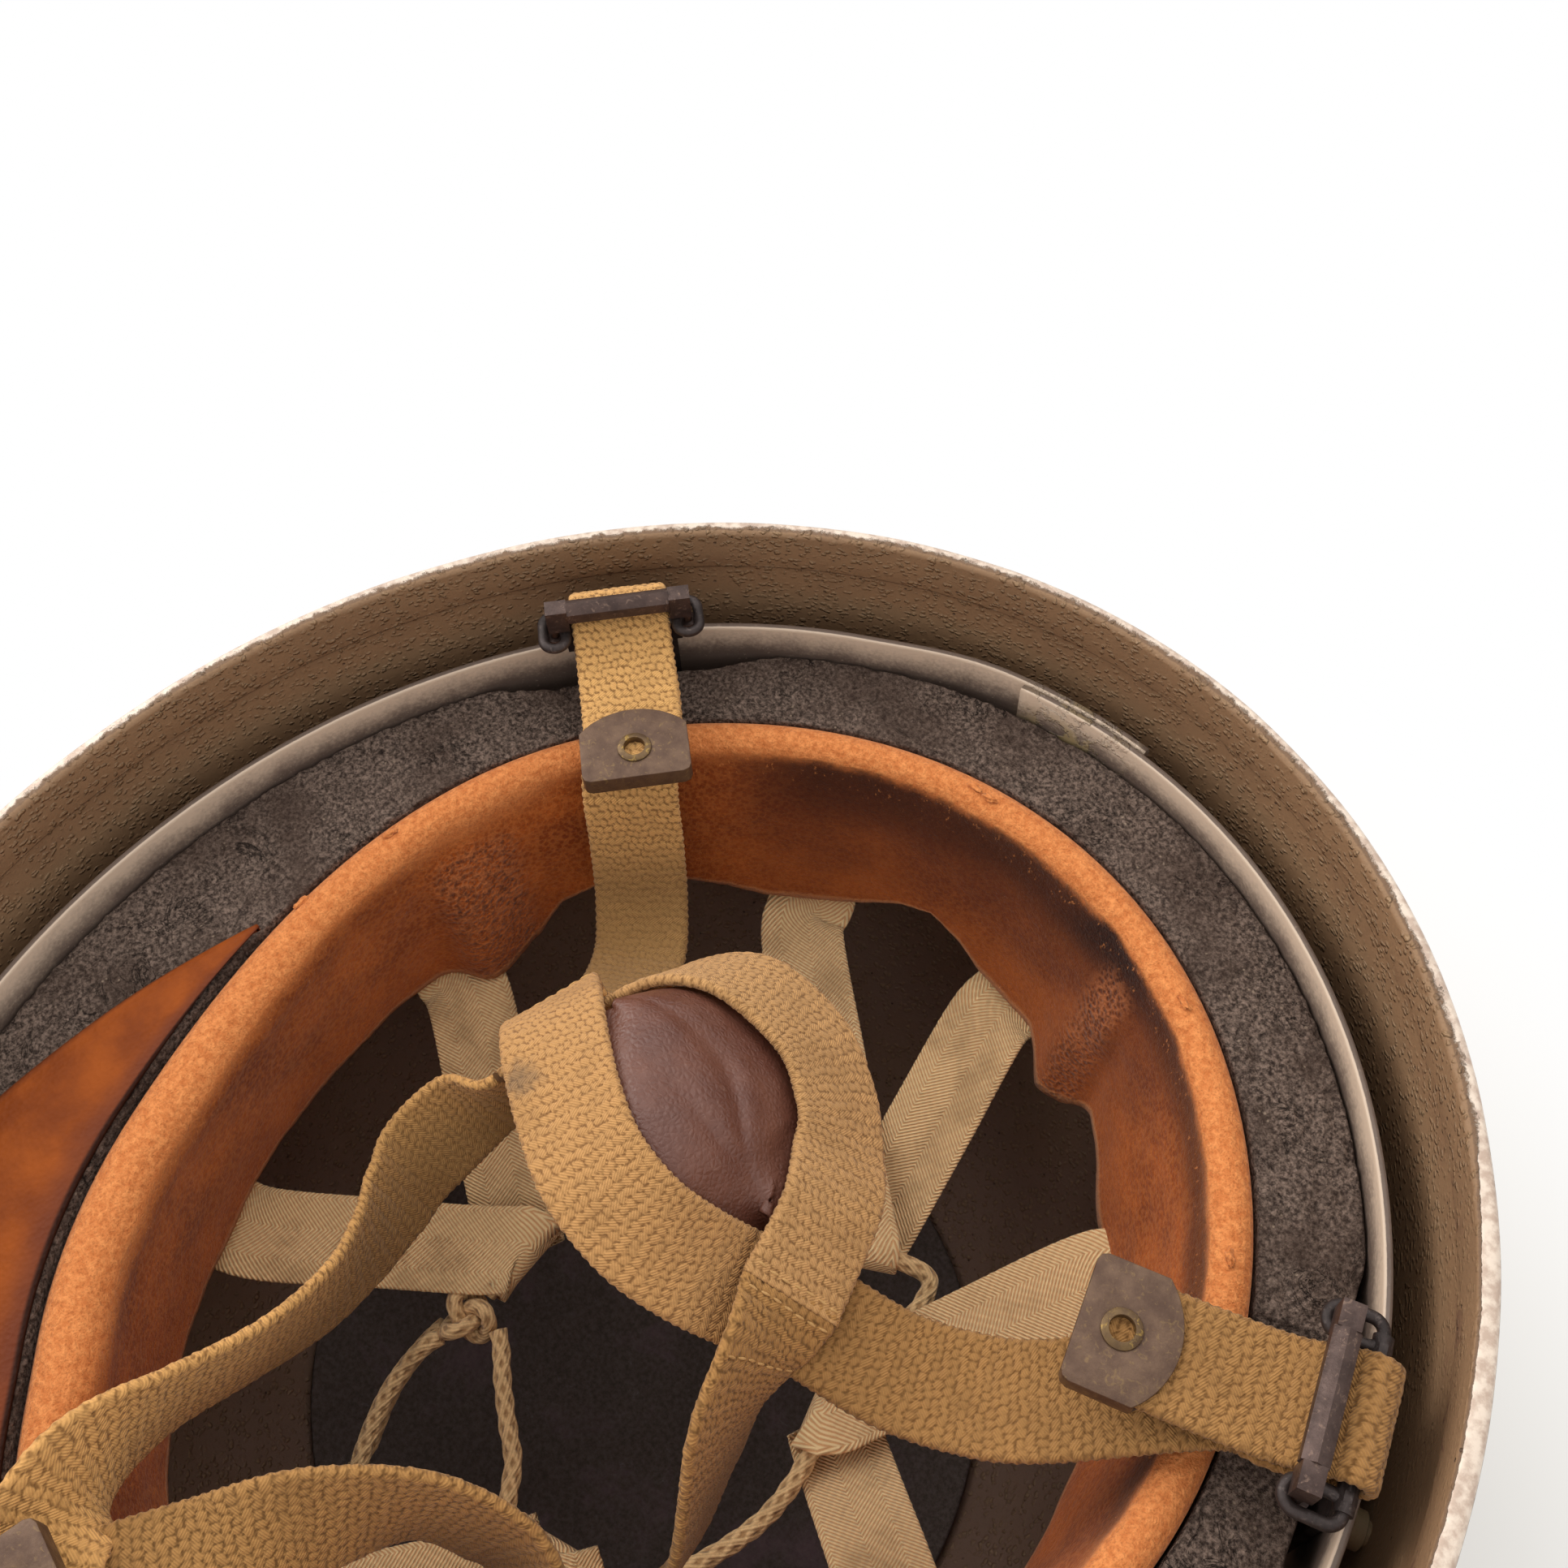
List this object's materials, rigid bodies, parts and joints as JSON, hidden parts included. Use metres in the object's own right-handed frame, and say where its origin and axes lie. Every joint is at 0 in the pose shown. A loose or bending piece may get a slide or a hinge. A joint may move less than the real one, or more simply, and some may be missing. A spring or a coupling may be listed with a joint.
{
  "type": "paratrooper helmet",
  "caption": "Rimless steel jump helmet lying crown down, with a leather and foam liner, taped crown and a webbing harness with chin cup and slide clamps.",
  "frame": {"origin": "the lowest point of the crown, with the helmet lying crown down", "axes": "+Z out of the bowl through the rim, +Y towards the front of the helmet"},
  "size_m": [0.254, 0.282, 0.168],
  "materials": {
    "shell_paint": "coarse sanded field paint, olive brown",
    "rim_paint": "field paint, chipped to bright steel on the edge",
    "band_fibre": "satin grey pressed fibre with a pale cut edge",
    "foam": "open-celled charcoal sponge rubber",
    "roll_leather": "worn suede and polished tan leather",
    "flap_leather": "smooth brown leather",
    "crown_felt": "matt black padding cloth",
    "tape_cotton": "herringbone cotton tape",
    "cord_cotton": "braided cotton cord",
    "bracket_steel": "blackened steel",
    "rivet_paint": "field paint",
    "clamp_bronze": "dark brown oxidised metal, worn on its corners",
    "webbing": "tan basket-weave cotton webbing",
    "tip_brass": "brass with a brown patina",
    "eyelet_brass": "brass, worn yellow",
    "cup_leather": "glossy creased dark brown leather"
  },
  "bodies": {
    "helmet": {"shell": "shell_paint", "rim_band": "rim_paint", "liner_band": "band_fibre", "foam_ring": "foam", "sweatband": "roll_leather", "sweatband_flap": "flap_leather", "crown_pad": "crown_felt", "tape_left": "tape_cotton", "tape_front": "tape_cotton", "tape_right": "tape_cotton", "tape_rear": "tape_cotton", "drawcord": "cord_cotton", "drawcord_knot": "cord_cotton", "drawcord_tail_long": "cord_cotton", "drawcord_tail_short": "cord_cotton", "bracket_left": "bracket_steel", "bracket_right": "bracket_steel", "bracket_rear": "bracket_steel", "bracket_rivets": "rivet_paint", "front_strap_left": "webbing", "front_strap_right": "webbing", "rear_strap_left": "webbing", "rear_strap_right": "webbing", "strap_tip_left": "tip_brass", "strap_tip_right": "tip_brass", "strap_tip_rear": "tip_brass", "tip_eyelets": "eyelet_brass"},
    "chin_harness": {"cup_web_front": "webbing", "cup_web_rear": "webbing", "chin_cup_leather": "cup_leather"},
    "clamp_left": {"clamp_bar_left": "clamp_bronze"},
    "clamp_right": {"clamp_bar_right": "clamp_bronze"},
    "clamp_rear": {"clamp_bar_rear": "clamp_bronze"}
  },
  "joints": [
    {"name": "chin_harness_lift", "type": "hinge", "parent": "helmet", "child": "chin_harness", "pos_m": [0, 0.06714, 0.1604], "axis": [-1, 0, 0], "range_deg": [0, 90], "deforming": ["front_strap_left", "front_strap_right", "rear_strap_left", "rear_strap_right"]},
    {"name": "clamp_left_slide", "type": "slide", "parent": "helmet", "child": "clamp_left", "axis": [0.8736, -0.4867, 0], "range_m": [0, 0.0022]},
    {"name": "clamp_right_slide", "type": "slide", "parent": "helmet", "child": "clamp_right", "axis": [-0.8736, -0.4867, 0], "range_m": [-0.0022, 0]},
    {"name": "clamp_rear_slide", "type": "slide", "parent": "helmet", "child": "clamp_rear", "axis": [0, 1, 0], "range_m": [0, 0.0022]}
  ]
}
